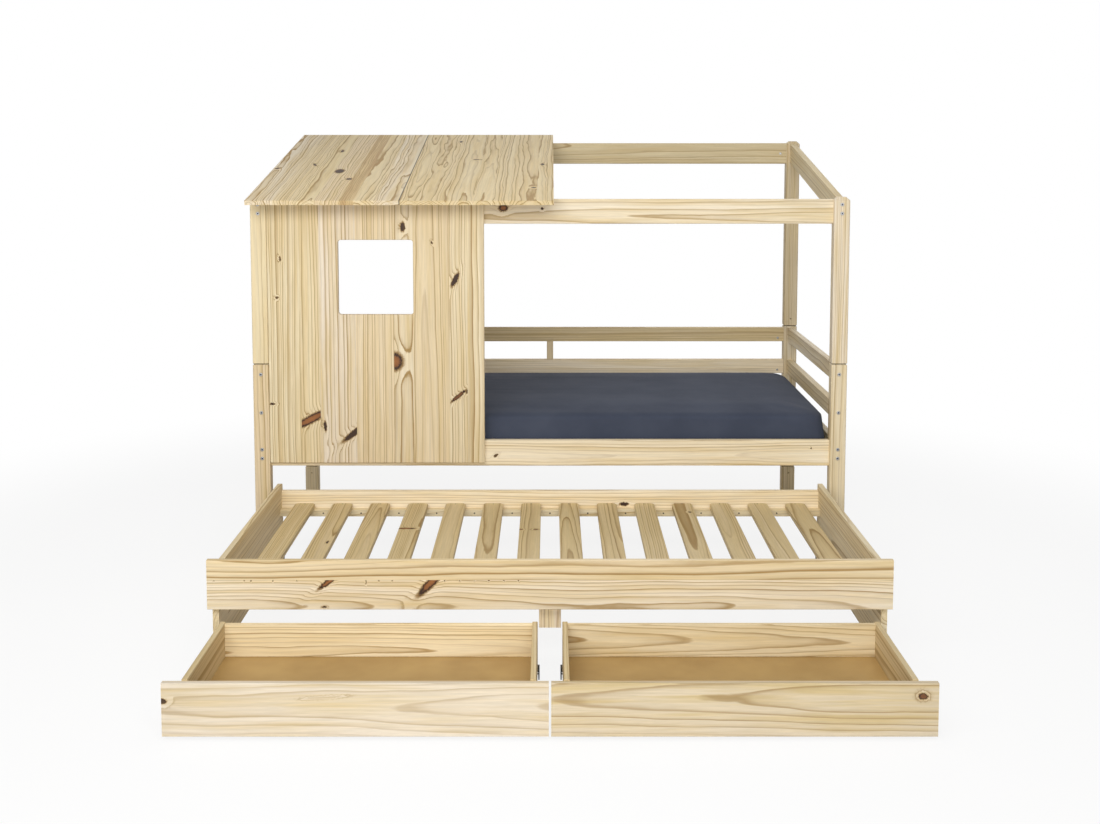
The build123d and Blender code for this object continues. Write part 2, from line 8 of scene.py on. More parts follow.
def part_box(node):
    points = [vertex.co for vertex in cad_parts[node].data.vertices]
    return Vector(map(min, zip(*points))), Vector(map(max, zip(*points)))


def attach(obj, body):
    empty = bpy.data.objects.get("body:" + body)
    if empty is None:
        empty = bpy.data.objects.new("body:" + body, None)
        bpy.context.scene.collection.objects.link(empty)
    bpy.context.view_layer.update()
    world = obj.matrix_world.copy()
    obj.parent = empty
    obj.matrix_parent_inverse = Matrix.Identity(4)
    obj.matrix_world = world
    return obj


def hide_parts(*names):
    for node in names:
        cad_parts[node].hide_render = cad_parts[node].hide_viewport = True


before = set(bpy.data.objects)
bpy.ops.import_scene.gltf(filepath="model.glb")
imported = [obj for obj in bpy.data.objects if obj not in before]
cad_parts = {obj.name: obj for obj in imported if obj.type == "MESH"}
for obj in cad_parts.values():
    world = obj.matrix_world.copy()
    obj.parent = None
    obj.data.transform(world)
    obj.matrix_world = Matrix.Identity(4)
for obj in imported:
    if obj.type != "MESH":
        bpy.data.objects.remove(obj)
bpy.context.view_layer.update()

# Camera. It stands in front of the bed's middle, a little above a child's eye level, and looks
# slightly down. The shift keeps the photograph's framing, with its horizon above the roof.
camera_place = (0.0, -4.506, 1.526)
camera_lens = 43.75
camera_tilt = 5.0
camera_shift = -0.1431

camera_data = bpy.data.cameras.new("camera")
camera_data.lens = camera_lens
camera_data.sensor_width = 36.0
camera_data.shift_y = camera_shift
camera = bpy.data.objects.new("camera", camera_data)
camera.location = camera_place
camera.rotation_euler = (math.radians(90.0 - camera_tilt), 0.0, 0.0)
bpy.context.collection.objects.link(camera)
bpy.context.scene.camera = camera
bpy.context.scene.view_settings.view_transform = "Standard"


# Floor and lights. A plain white floor that fades into a white surround. Wide soft lamps stand in
# front, low in front, overhead and behind, and the surround adds a little, as in a small studio.
def linear(code):
    """A colour as it is written for a screen, turned to the linear one that a shader takes."""
    parts = [int(code[i : i + 2], 16) / 255.0 for i in (1, 3, 5)]
    return [c / 12.92 if c <= 0.04045 else ((c + 0.055) / 1.055) ** 2.4 for c in parts] + [1.0]


def add(tree, kind, sockets, stops=None, **settings):
    """Adds a node, sets it, and gives its sockets a value or the output of another node."""
    node = tree.nodes.new(kind)
    for name, value in settings.items():
        setattr(node, name, value)
    for key, value in sockets.items():
        if isinstance(key, int):
            socket = node.inputs[key]
        else:
            socket = next(s for s in node.inputs if s.enabled and s.name == key)
        if isinstance(value, bpy.types.Node):
            value = next(s for s in value.outputs if s.enabled)
        if isinstance(value, bpy.types.NodeSocket):
            tree.links.new(value, socket)
        else:
            socket.default_value = value
    if stops:
        ramp = node.color_ramp.elements
        while len(ramp) < len(stops):
            ramp.new(1.0)
        for element, (position, colour) in zip(ramp, stops):
            element.position = position
            element.color = colour
    return node


def new_material(name):
    """An empty material with its surface shader and the object's own coordinates."""
    material = bpy.data.materials.new(name)
    material.use_nodes = True
    tree = material.node_tree
    place = add(tree, "ShaderNodeTexCoord", {}).outputs["Object"]
    return material, tree, tree.nodes["Principled BSDF"], place


def mesh_piece(name, points, faces, material, smooth=True):
    """An object made from points in metres and the faces between them."""
    mesh = bpy.data.meshes.new(name)
    mesh.from_pydata([tuple(p) for p in points], [], faces)
    mesh.validate()
    mesh.update()
    if smooth:
        mesh.shade_smooth()
    mesh.materials.append(material)
    piece = bpy.data.objects.new(name, mesh)
    bpy.context.collection.objects.link(piece)
    return piece


floor_half = 30.0
floor_fade_from = 1.9
floor_fade_to = 3.4
floor_glow = 0.86
world_light = 0.13

floor_paint, tree, shader, place = new_material("floor_paint")
shader.inputs["Base Color"].default_value = linear("#F1F1F0")
shader.inputs["Roughness"].default_value = 0.9
rays = add(tree, "ShaderNodeLightPath", {})
seen = add(
    tree,
    "ShaderNodeMath",
    {0: rays.outputs["Is Camera Ray"], 1: rays.outputs["Is Glossy Ray"]},
    operation="MAXIMUM",
)
far_off = add(
    tree,
    "ShaderNodeMapRange",
    {
        "Value": add(tree, "ShaderNodeVectorMath", {0: place}, operation="LENGTH").outputs["Value"],
        "From Min": floor_fade_from,
        "From Max": floor_fade_to,
        "To Min": floor_glow,
        "To Max": 1.0,
    },
    interpolation_type="SMOOTHSTEP",
)
fade = add(tree, "ShaderNodeMath", {0: far_off, 1: seen}, operation="MULTIPLY")
blend = add(
    tree,
    "ShaderNodeMixShader",
    {0: fade, 1: shader, 2: add(tree, "ShaderNodeEmission", {"Strength": 1.0})},
)
tree.links.new(blend.outputs[0], tree.nodes["Material Output"].inputs["Surface"])
floor = mesh_piece(
    "studio_floor",
    [(x * floor_half, y * floor_half, 0.0) for x, y in ((-1, -1), (1, -1), (1, 1), (-1, 1))],
    [(0, 1, 2, 3)],
    floor_paint,
)

world = bpy.data.worlds.new("studio")
world.use_nodes = True
bpy.context.scene.world = world
tree = world.node_tree
rays = add(tree, "ShaderNodeLightPath", {})
bright = add(
    tree,
    "ShaderNodeMath",
    {0: rays.outputs["Is Camera Ray"], 1: rays.outputs["Is Glossy Ray"]},
    operation="MAXIMUM",
)
strength = add(
    tree,
    "ShaderNodeMapRange",
    {"Value": bright, "To Min": world_light, "To Max": 1.0},
)
tree.links.new(strength.outputs[0], tree.nodes["Background"].inputs["Strength"])
tree.nodes["Background"].inputs["Color"].default_value = (1.0, 1.0, 1.0, 1.0)


def soft_light(name, place, aim, size, power):
    """A wide flat lamp at a place, turned towards what it lights."""
    lamp = bpy.data.lights.new(name, "AREA")
    lamp.shape = "RECTANGLE"
    lamp.size, lamp.size_y = size
    lamp.energy = power
    holder = bpy.data.objects.new(name, lamp)
    holder.location = place
    holder.rotation_euler = (Vector(aim) - Vector(place)).to_track_quat("-Z", "Y").to_euler()
    holder.visible_camera = False
    bpy.context.collection.objects.link(holder)


bed_middle = (0.0, 0.2, 0.8)
soft_light("front_light", place=(-0.7, -3.2, 2.6), aim=bed_middle, size=(4.2, 1.4), power=88.0)
soft_light("low_light", place=(0.0, -4.6, 1.1), aim=bed_middle, size=(4.0, 1.4), power=62.0)
soft_light(
    "over_light", place=(0.0, -0.6, 3.6), aim=(0.0, -0.2, 0.0), size=(4.0, 3.0), power=38.0
)
soft_light(
    "back_light", place=(0.8, 5.0, 2.4), aim=(0.0, 0.0, 0.7), size=(4.0, 2.0), power=70.0
)


# Pine timber. Planed and sanded softwood, left bare. The eye sees wide pale early wood between
# thin olive-brown rings, straight or in long arches, fine fibres, and knots with a dark rim.
pine_tones = ("#EBDECA", "#EDE0C4", "#E8D8B2", "#E5D2B2", "#B38F64")
pine_warm = "#DBC493"
pine_late = "#A58653"
knot_colours = ("#A26B3C", "#855530", "#3A281D", "#3A281D", "#8E7046", "#B99A66")

# Which way a board lies, as the turn that brings its grain to X and its face to Z
grain_along_x = (-90.0, 0.0, 0.0)
grain_along_z = (-90.0, 0.0, -90.0)
grain_along_y = (0.0, 0.0, -90.0)
grain_along_y_on_edge = (0.0, 90.0, -90.0)
roof_angle = 11.2
grain_up_roof = (-roof_angle, 0.0, -90.0)
grain_up_roof_on_edge = (-roof_angle, 90.0, -90.0)

axis_names = "XYZ"

# Where the log's heart lies, in millimetres. A flat-sawn board has it behind the face, some way
# to the side, and a quarter-sawn one has it far to the side.
heart_aside = 45.0
heart_nearest = 14.0
heart_deeper = 75.0
quarter_sawn_aside = (70.0, 150.0)
quarter_sawn_deep = 8.0
darkest_lot = 0.78
pace_range = (0.7, 1.5)

# The largest values that a colour ramp has to carry, and how far apart two lots lie in the grain
heart_reach = 2000.0
heart_deepest = 100.0
pace_most = 2.0
lots_apart = 9000.0
strip_tone_spread = 0.3


def turned(place, turn):
    """A place in millimetres, as the grain's own axes give it."""
    return Euler([math.radians(t) for t in turn]).to_matrix() @ Vector(place)


def streaks(tree, place, along, across, detail):
    """Noise whose patches are so many millimetres long along the grain and across it."""
    stretch = (1.0 / along, 1.0 / across, 1.0 / across)
    scaled = add(tree, "ShaderNodeVectorMath", {0: place, 1: stretch}, operation="MULTIPLY")
    return add(tree, "ShaderNodeTexNoise", {"Vector": scaled, "Scale": 1.0, "Detail": detail})


def cut_from_log(chance, flat_sawn):
    """How a board lay in its log: the heart's place across and under it, its lot and its pace."""
    across = chance.uniform(-heart_aside, heart_aside)
    if chance.random() < flat_sawn:
        deep = heart_nearest + heart_deeper * chance.random() ** 1.5
    else:
        across += chance.choice((-1, 1)) * chance.uniform(*quarter_sawn_aside)
        deep = quarter_sawn_deep
    return across, deep, chance.uniform(0.0, darkest_lot), chance.uniform(*pace_range)


def strip_hearts(tree, place, turn, middle, strips, cuts):
    """For boards glued side by side: the heart, the lot and the pace of the one at each place."""
    axis, start, widths = strips
    sign = round(turned([float(a == axis) for a in axis_names], turn).y)
    total = sum(widths)
    stops, at = [], 0.0
    for width, (across, deep, lot, pace) in zip(widths, cuts):
        side = across + sign * (start + at + width / 2.0) - middle.y
        level = side / (2.0 * heart_reach) + 0.5
        stops.append((at / total, (level, deep / heart_deepest, lot, pace / pace_most)))
        at += width
    ends = {"From Min": start / 1000.0, "From Max": (start + total) / 1000.0}
    apart = add(tree, "ShaderNodeSeparateXYZ", {0: place})
    share = add(tree, "ShaderNodeMapRange", {"Value": apart.outputs[axis], **ends})
    picked = add(tree, "ShaderNodeValToRGB", {0: share}, stops=stops)
    picked.color_ramp.interpolation = "CONSTANT"
    parts = add(tree, "ShaderNodeSeparateColor", {0: picked})
    ends = {"To Min": middle.y - heart_reach, "To Max": middle.y + heart_reach}
    heart = {
        0: add(tree, "ShaderNodeMath", {0: parts.outputs[2], 1: lots_apart}, operation="MULTIPLY"),
        1: add(tree, "ShaderNodeMapRange", {"Value": parts.outputs[0], **ends}),
        2: add(
            tree,
            "ShaderNodeMath",
            {0: parts.outputs[1], 1: -heart_deepest, 2: middle.z},
            operation="MULTIPLY_ADD",
        ),
    }
    pace = add(
        tree, "ShaderNodeMath", {0: picked.outputs["Alpha"], 1: pace_most}, operation="MULTIPLY"
    )
    return add(tree, "ShaderNodeCombineXYZ", heart), parts.outputs[2], pace


# Knots have torn edges: the patches of the noise that tears them are about 6 mm wide
tear_scale = 0.16
tear_reach = (12.0, 9.0, 0.0)
knot_through = 500.0
other_strip_away = 1000.0


def knot_field(tree, grain, turn, knots, strips, cuts, lot):
    """How far each place lies from the nearest knot: 1 at a knot's rim, more outside it."""
    ragged = add(tree, "ShaderNodeTexNoise", {"Vector": grain, "Scale": tear_scale, "Detail": 4.0})
    off = add(
        tree,
        "ShaderNodeVectorMath",
        {0: ragged.outputs["Color"], 1: (0.5, 0.5, 0.5)},
        operation="SUBTRACT",
    )
    torn = add(
        tree, "ShaderNodeVectorMath", {0: off, 1: tear_reach, 2: grain}, operation="MULTIPLY_ADD"
    )
    nearest = None
    for knot_place, long, wide, lean, core in knots:
        shape = {
            "Vector": torn,
            "Location": turned(knot_place, turn),
            "Rotation": (0.0, 0.0, math.radians(lean)),
            "Scale": (long / 2.0, wide / 2.0, knot_through),
        }
        own = add(tree, "ShaderNodeMapping", shape, vector_type="TEXTURE")
        away = add(tree, "ShaderNodeVectorMath", {0: own}, operation="LENGTH").outputs["Value"]
        if core:
            away = add(tree, "ShaderNodeMath", {0: away, 1: core}, operation="MAXIMUM")
        if strips:
            axis, at, widths = strips
            for width, cut in zip(widths, cuts):
                if at <= knot_place[axis_names.index(axis)] < at + width:
                    own_lot = cut[2]
                at += width
            other = add(tree, "ShaderNodeMath", {0: lot, 1: own_lot}, operation="SUBTRACT")
            other = add(tree, "ShaderNodeMath", {0: other}, operation="ABSOLUTE")
            gated = {0: other, 1: other_strip_away, 2: away}
            away = add(tree, "ShaderNodeMath", gated, operation="MULTIPLY_ADD")
        if nearest is None:
            nearest = away
        else:
            nearest = add(tree, "ShaderNodeMath", {0: nearest, 1: away}, operation="MINIMUM")
    return nearest


# A log's axis rises by up to 20 mm in a metre and wanders, its rings are wider in some decades,
# and they bend round a knot
steepest = 0.02
steepness_mix = 7.31
long_wander = (900.0, 200.0, 30.0)
decade = 25.0
decade_seed = 50.0
rings_gained = 1.8
knot_bend = {"From Min": 0.0, "From Max": 3.6, "To Min": 1.0, "To Max": 0.0}


def ring_count(tree, grain, middle, heart, lot, pace, gap, wave, nearest):
    """How many rings lie between the log's heart and each place."""
    mixed = add(tree, "ShaderNodeMath", {0: lot, 1: steepness_mix}, operation="MULTIPLY")
    mixed = add(tree, "ShaderNodeMath", {0: mixed}, operation="FRACT")
    steep = add(
        tree, "ShaderNodeMapRange", {"Value": mixed, "To Min": -steepest, "To Max": steepest}
    )
    along = add(tree, "ShaderNodeSeparateXYZ", {0: grain}).outputs[0]
    along = add(tree, "ShaderNodeMath", {0: along, 1: middle.x}, operation="SUBTRACT")
    rise = add(tree, "ShaderNodeMath", {0: along, 1: steep}, operation="MULTIPLY")
    log = add(tree, "ShaderNodeVectorMath", {0: grain, 1: heart}, operation="SUBTRACT")
    lifted = add(tree, "ShaderNodeCombineXYZ", {2: rise})
    log = add(tree, "ShaderNodeVectorMath", {0: log, 1: lifted}, operation="ADD")

    # The log's own axis wanders, which is what draws arches on the face
    for long, across, sway in (long_wander, wave):
        wander = streaks(tree, log, long, across, 2.0).outputs["Color"]
        centred = {0: wander, 1: (0.5, 0.5, 0.5)}
        shift = add(tree, "ShaderNodeVectorMath", centred, operation="SUBTRACT")
        moved = {0: shift, 1: (0.0, sway, sway), 2: log}
        log = add(tree, "ShaderNodeVectorMath", moved, operation="MULTIPLY_ADD")
    cross = add(tree, "ShaderNodeVectorMath", {0: log, 1: (0.0, 1.0, 1.0)}, operation="MULTIPLY")
    radius = add(tree, "ShaderNodeVectorMath", {0: cross}, operation="LENGTH").outputs["Value"]
    season = add(tree, "ShaderNodeMath", {0: lot, 1: decade_seed}, operation="MULTIPLY")
    season = add(
        tree, "ShaderNodeMath", {0: radius, 1: 1.0 / decade, 2: season}, operation="MULTIPLY_ADD"
    )
    uneven = add(
        tree,
        "ShaderNodeTexNoise",
        {"W": season, "Scale": 1.0, "Detail": 1.0},
        noise_dimensions="1D",
    )
    uneven = add(tree, "ShaderNodeMath", {0: uneven, 1: rings_gained}, operation="MULTIPLY")
    rate = add(tree, "ShaderNodeMath", {0: pace, 1: 1.0 / gap}, operation="MULTIPLY")
    count = add(
        tree, "ShaderNodeMath", {0: radius, 1: rate, 2: uneven}, operation="MULTIPLY_ADD"
    )
    if nearest is None:
        return log, count
    bend = {"Value": nearest, **knot_bend}
    bent = add(tree, "ShaderNodeMapRange", bend, interpolation_type="SMOOTHERSTEP")
    return log, add(tree, "ShaderNodeMath", {0: count, 1: bent}, operation="ADD")


# How dark the wood is through one year, from the early wood to the sharp end of the late wood
late_wood = ((0.0, 0.0), (0.50, 0.05), (0.74, 0.30), (0.89, 1.0), (0.95, 0.85), (1.0, 0.0))
weakest_year = 0.3
tone_places = (0.0, 0.25, 0.5, 0.75, 1.0)

# Patches of warmer wood, fine streaks and fibres: how long and how wide, in millimetres, and how
# much the last two change the colour. Real fibres are finer: these are as coarse as they must be
# to show.
warm_size = (420.0, 20.0)
warm_from = 0.42
warm_to = 0.75
warm_most = 0.7
year_warmth = 0.3
fibre_size = (60.0, 1.4)
fibre_light = (0.95, 1.05)
streak_size = (220.0, 5.0)
streak_light = (0.93, 1.06)

# A joint's dark line of painted shade, which stands for the shadow in the narrow gap, by the
# distance from its middle in metres, and a knot's colours, by the distance from its heart where
# 0.5 is its rim
seam_painted_shade = {"From Min": 0.0011, "From Max": 0.0024, "To Min": 0.18, "To Max": 1.0}
knot_places = (0.0, 0.34, 0.43, 0.50, 0.58, 0.74)
knot_fade = {"From Min": 1.12, "From Max": 1.55, "To Min": 1.0, "To Max": 0.0}
fray = 0.3

# Bare sanded wood is dull, and its fibres stand up by a fraction of a millimetre
pine_roughness = 0.62
pine_specular = 0.32
grain_relief = {"Strength": 0.12, "Distance": 0.0006}


def pine(
    name,
    middle,
    turn,
    seed,
    strips=None,
    brown=None,
    knots=(),
    gap=9.0,
    paleness_and_painted_light=1.0,
    flat_sawn=0.5,
    figure=0.85,
    tone=None,
    wave=(110.0, 24.0, 2.8),
    seam=None,
    warmth=0.0,
):
    """Pine for one board, or for boards side by side: strips is an axis, a start and the widths.

    Each knot is a place in millimetres, its length, its width, its turn on the face and how dark
    its heart is. A tone runs from 0, greyish, to 1, brown, and is left to chance where none is
    given. A wave is how long, how wide and how deep the small bends in the grain are. A seam is an
    axis and a place on it, where the joint shows as a dark line of painted shade, standing for the
    shadow in the narrow gap. Warmth is how much of the yellower wood a board has everywhere.
    Paleness and painted light multiplies the colour. In part it is a board's own paler or darker
    wood. In part it is painted light and shade: darker where less light reaches a board, and
    lighter where a board lies in the shadow of others.
    """
    chance = random.Random(seed)
    material, tree, shader, place = new_material(name)
    angles = [math.radians(t) for t in turn]
    scaled = {"Vector": place, "Rotation": angles, "Scale": (1000.0, 1000.0, 1000.0)}
    grain = add(tree, "ShaderNodeMapping", scaled)
    middle = turned(middle, turn)
    cuts = [cut_from_log(chance, flat_sawn) for width in (strips[2] if strips else (1,))]
    if tone is not None:
        spread = strip_tone_spread if strips else 0.0
        cuts = [cut[:2] + (tone + spread * cut[2],) + cut[3:] for cut in cuts]
    if brown is not None:
        cuts[brown] = cuts[brown][:2] + (1.0,) + cuts[brown][3:]
    if strips:
        heart, lot, pace = strip_hearts(tree, place, turn, middle, strips, cuts)
    else:
        across, deep, lot, pace = cuts[0]
        heart = (chance.uniform(-4000.0, 4000.0), middle.y + across, middle.z - deep)
    nearest = knot_field(tree, grain, turn, knots, strips, cuts, lot) if knots else None
    log, count = ring_count(tree, grain, middle, heart, lot, pace, gap, wave, nearest)

    # Late wood is a line that darkens slowly and ends sharply, stronger in some years
    ring = add(tree, "ShaderNodeMath", {0: count}, operation="FRACT")
    year = add(tree, "ShaderNodeMath", {0: count}, operation="FLOOR")
    year = add(tree, "ShaderNodeTexWhiteNoise", {"W": year}, noise_dimensions="1D")
    stops = [(at, (level, level, level, 1.0)) for at, level in late_wood]
    late = add(tree, "ShaderNodeValToRGB", {0: ring}, stops=stops)
    strength = {"Value": year, "To Min": weakest_year * figure, "To Max": figure}
    strong = add(tree, "ShaderNodeMapRange", strength)
    late = add(tree, "ShaderNodeMath", {0: late, 1: strong}, operation="MULTIPLY")

    # Each board has its own tone, with broad warm bands and fine streaks and fibres
    stops = [(at, linear(code)) for at, code in zip(tone_places, pine_tones)]
    own_tone = add(tree, "ShaderNodeValToRGB", {0: lot}, stops=stops)
    patches = streaks(tree, log, *warm_size, 2.0)
    fibres = streaks(tree, log, *fibre_size, 3.0)
    lines = streaks(tree, log, *streak_size, 2.0)
    warm = add(
        tree,
        "ShaderNodeMapRange",
        {
            "Value": patches,
            "From Min": warm_from,
            "From Max": warm_to,
            "To Min": warmth,
            "To Max": min(1.0, warm_most + warmth),
        },
    )
    band = add(tree, "ShaderNodeMath", {0: year, 1: year_warmth, 2: warm}, operation="MULTIPLY_ADD")
    blend = {"Factor": band, "A": own_tone, "B": linear(pine_warm)}
    early = add(tree, "ShaderNodeMix", blend, data_type="RGBA")
    blend = {"Factor": late, "A": early, "B": linear(pine_late)}
    colour = add(tree, "ShaderNodeMix", blend, data_type="RGBA")
    # The level starts from the board's paleness and painted light: partly its own tone, partly
    # painted shade or painted light
    level = paleness_and_painted_light
    for marks, (low, high) in ((fibres, fibre_light), (lines, streak_light)):
        spread = {"Value": marks, "From Min": 0.3, "From Max": 0.7, "To Min": low, "To Max": high}
        own = add(tree, "ShaderNodeMapRange", spread)
        level = add(tree, "ShaderNodeMath", {0: own, 1: level}, operation="MULTIPLY")
    # A dark line of painted shade along a joint, where the gap would lie in shadow
    if seam:
        axis, at = seam
        apart = add(tree, "ShaderNodeSeparateXYZ", {0: place}).outputs[axis]
        away = add(tree, "ShaderNodeMath", {0: apart, 1: at / 1000.0}, operation="SUBTRACT")
        away = add(tree, "ShaderNodeMath", {0: away}, operation="ABSOLUTE")
        own = add(tree, "ShaderNodeMapRange", {"Value": away, **seam_painted_shade})
        level = add(tree, "ShaderNodeMath", {0: own, 1: level}, operation="MULTIPLY")
    colour = add(tree, "ShaderNodeVectorMath", {0: colour, "Scale": level}, operation="SCALE")
    if nearest is not None:
        edge = {0: fibres, 1: fray, 2: nearest}
        edge = add(tree, "ShaderNodeMath", edge, operation="MULTIPLY_ADD")
        half = add(tree, "ShaderNodeMath", {0: edge, 1: 0.5}, operation="MULTIPLY")
        stops = [(at, linear(code)) for at, code in zip(knot_places, knot_colours)]
        shown = add(tree, "ShaderNodeValToRGB", {0: half}, stops=stops)
        fade = {"Value": edge, **knot_fade}
        knotty = add(tree, "ShaderNodeMapRange", fade, interpolation_type="SMOOTHSTEP")
        blend = {"Factor": knotty, "A": colour, "B": shown}
        colour = add(tree, "ShaderNodeMix", blend, data_type="RGBA")
    tree.links.new(next(s for s in colour.outputs if s.enabled), shader.inputs["Base Color"])
    shader.inputs["Roughness"].default_value = pine_roughness
    shader.inputs["Specular IOR Level"].default_value = pine_specular
    relief = add(tree, "ShaderNodeMath", {0: fibres, 1: 0.5, 2: late}, operation="MULTIPLY_ADD")
    bump = add(tree, "ShaderNodeBump", {"Height": relief, **grain_relief})
    tree.links.new(bump.outputs[0], shader.inputs["Normal"])
    return material


def dress(material, *names):
    """Gives a material to CAD nodes."""
    for name in names:
        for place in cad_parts[name].material_slots:
            place.material = material


def middle_of(name):
    """The middle of a node, in millimetres."""
    low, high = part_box(name)
    return (Vector(low) + Vector(high)) * 500.0


# The lens stood level in the photograph; this finds what lies at one of its pixels
photo_eye = Vector((0.0, -4.763, 1.540)) * 1000.0
photo_focal = 1394.0
photo_middle_x = 549.3
photo_horizon_y = 134.0


def seen_at(x, y, face_point, face_way):
    """The place in millimetres, on a flat face, that the photograph shows at this pixel."""
    ray = Vector(((x - photo_middle_x) / photo_focal, 1.0, (photo_horizon_y - y) / photo_focal))
    way = Vector(face_way)
    return photo_eye + ray * ((Vector(face_point) - photo_eye).dot(way) / ray.dot(way))


# Posts. Each is a foot, a lower and an upper post, planed square with eased edges. Their grain
# stands upright, each is cut from its own length of timber, and the joints show as dark lines of
# painted shade. The back posts are painted darker, as painted shade where less light reaches them.
post_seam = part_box("upper_post_front_left")[0][2] * 1000.0
foot_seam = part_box("post_feet")[1][2] * 1000.0
feet_pine = pine(
    "pine_feet", middle_of("post_feet"), grain_along_z, 11, paleness_and_painted_light=0.95, seam=("Z", foot_seam)
)
dress(feet_pine, "post_feet")
post_names = [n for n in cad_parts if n.startswith(("lower_post", "upper_post"))]
for number, node in enumerate(sorted(post_names)):
    post_pine = pine(
        f"pine_{node}",
        middle_of(node),
        grain_along_z,
        20 + number,
        flat_sawn=0.3,
        paleness_and_painted_light=0.86 if "back" in node else 1.0,
        seam=("Z", post_seam),
    )
    dress(post_pine, node)

# Rails. Planed boards on edge, with their grain along them. The knots are where they show.
facing_front = (0.0, 1.0, 0.0)


def marks_on(face_point, face_way, knots):
    """Knots given by the pixels that show them, set on a flat face.

    After its two pixel coordinates a knot has its length, its width, its turn and its heart, which
    is 0 where the middle shows reddish and 0.9 where all of it is dark.
    """
    return [(seen_at(x, y, face_point, face_way), *rest) for x, y, *rest in knots]


front_rail_face = Vector(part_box("bed_rail_front")[0]) * 1000.0
bed_rail_knots = ((494.8, 456.4, 18.0, 9.0, 30.0, 0.9), (812.0, 449.0, 7.0, 5.0, 0.0, 0.85))
top_rail_knots = ((503.0, 207.3, 32.0, 24.0, 12.0, 0.0), (541.5, 208.0, 9.0, 9.0, 0.0, 0.85))
# The third column multiplies each rail's colour as painted light: the back rails are painted darker,
# where less light reaches them, and the front bed rail and middle back rail lighter
long_rails = (
    ("bed_rail_front", 41, 1.09, 0.2, 0.0, marks_on(front_rail_face, facing_front, bed_rail_knots)),
    ("bed_rail_back", 42, 0.95, 0.5, 0.0, ()),
    ("middle_rail_back", 43, 1.06, 0.1, 0.0, ()),
    ("guard_rail_back", 44, 0.89, 0.7, 0.45, ()),
    ("top_rail_front", 45, 1.0, 0.15, 0.0, marks_on(front_rail_face, facing_front, top_rail_knots)),
    ("top_rail_back", 46, 0.82, 0.5, 0.0, ()),
)
for node, seed, paleness_and_painted_light, tone, warmth, marks in long_rails:
    rail_pine = pine(
        f"pine_{node}",
        middle_of(node),
        grain_along_x,
        seed,
        paleness_and_painted_light=paleness_and_painted_light,
        tone=tone,
        warmth=warmth,
        knots=marks,
    )
    dress(rail_pine, node)
for number, hand in enumerate(("left", "right")):
    for level, kind in enumerate(("bed_rail", "middle_rail", "guard_rail")):
        node = f"{kind}_{hand}"
        seed = 50 + 10 * number + level
        dress(pine(f"pine_{node}", middle_of(node), grain_along_y_on_edge, seed), node)
    node = f"top_rail_{hand}"
    dress(pine(f"pine_{node}", middle_of(node), grain_up_roof_on_edge, 54 + 10 * number), node)
dress(pine("pine_spacer", middle_of("rail_spacer"), grain_along_z, 58), "rail_spacer")

# House panel. Upright staves glued edge to edge and sanded flat, each with its own grain. Knots
# end at a glue line where a stave was ripped through them.
panel_low = Vector(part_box("house_panel")[0]) * 1000.0
panel_staves = (113.0, 67.0, 130.0, 133.5, 69.5, 128.5, 64.0, 60.5)
panel_knots = (
    (403.3, 226.0, 34.0, 17.0, 0.0, 0.85),
    (454.9, 278.7, 56.0, 17.0, -26.0, 0.8),
    (281.2, 257.8, 16.0, 8.0, 10.0, 0.9),
    (277.7, 296.7, 9.0, 12.0, 0.0, 0.9),
    (431.8, 241.5, 12.0, 6.0, 20.0, 0.9),
    (394.0, 360.8, 64.0, 60.0, -8.0, 0.0),
    (309.7, 419.4, 28.0, 150.0, 28.0, 0.0),
    (323.8, 426.4, 36.0, 11.0, 5.0, 0.85),
    (354.6, 432.0, 20.0, 120.0, 38.0, 0.75),
    (457.5, 396.0, 12.0, 70.0, 40.0, 0.6),
    (466.5, 391.0, 14.0, 8.0, 0.0, 0.9),
    (271.4, 403.8, 7.0, 18.0, 0.0, 0.85),
)
panel_pine = pine(
    "pine_panel",
    middle_of("house_panel"),
    grain_along_z,
    72,
    strips=("X", panel_low.x, panel_staves),
    knots=marks_on(panel_low, facing_front, panel_knots),
    gap=11.0,
    paleness_and_painted_light=0.97,
    figure=1.15,
)
dress(panel_pine, "house_panel")

# Roof. Two boards of glued staves, their grain down the slope, which meet in a dark line of
# painted shade. One stave is browner than the rest.
roof_high = Vector(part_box("roof_board_left")[1]) * 1000.0
roof_staves_left = (95.0, 68.0, 75.0, 85.0, 49.0, 70.0, 89.0)
roof_staves_right = (62.0, 96.0, 95.0, 66.0, 60.0, 92.0, 60.0)
roof_up = (0.0, -math.sin(math.radians(roof_angle)), math.cos(math.radians(roof_angle)))
roof_point = Vector((0.0, roof_high.y, roof_high.z))
roof_knots = (
    (341.0, 171.0, 66.0, 34.0, 0.0, 0.75),
    (316.3, 164.6, 44.0, 10.0, 20.0, 0.85),
    (279.2, 168.2, 22.0, 16.0, 0.0, 0.85),
    (343.4, 151.0, 40.0, 12.0, 0.0, 0.85),
    (350.5, 178.8, 26.0, 22.0, 0.0, 0.8),
    (476.0, 159.5, 14.0, 22.0, 0.0, 0.85),
    (541.9, 164.2, 34.0, 14.0, 0.0, 0.85),
    (533.3, 187.3, 16.0, 16.0, 0.0, 0.85),
    (461.0, 141.7, 30.0, 12.0, 0.0, 0.85),
)
for hand, staves, seed, brown, tone in (
    ("left", roof_staves_left, 74, 4, None),
    ("right", roof_staves_right, 75, None, 0.38),
):
    node = f"roof_board_{hand}"
    low, high = (Vector(corner) * 1000.0 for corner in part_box(node))
    marks = [m for m in marks_on(roof_point, roof_up, roof_knots) if low.x < m[0].x < high.x]
    roof_pine = pine(
        f"pine_{node}",
        middle_of(node),
        grain_up_roof,
        seed,
        strips=("X", low.x, staves),
        brown=brown,
        tone=tone,
        warmth=0.1 if tone is None else 0.35,
        knots=marks,
        gap=9.0,
        flat_sawn=0.9,
        figure=1.5,
        wave=(260.0, 40.0, 20.0),
        seam=("X", roof_high.x),
    )
    dress(roof_pine, node)
dress(pine("pine_battens", middle_of("roof_battens"), grain_along_x, 78), "roof_battens")
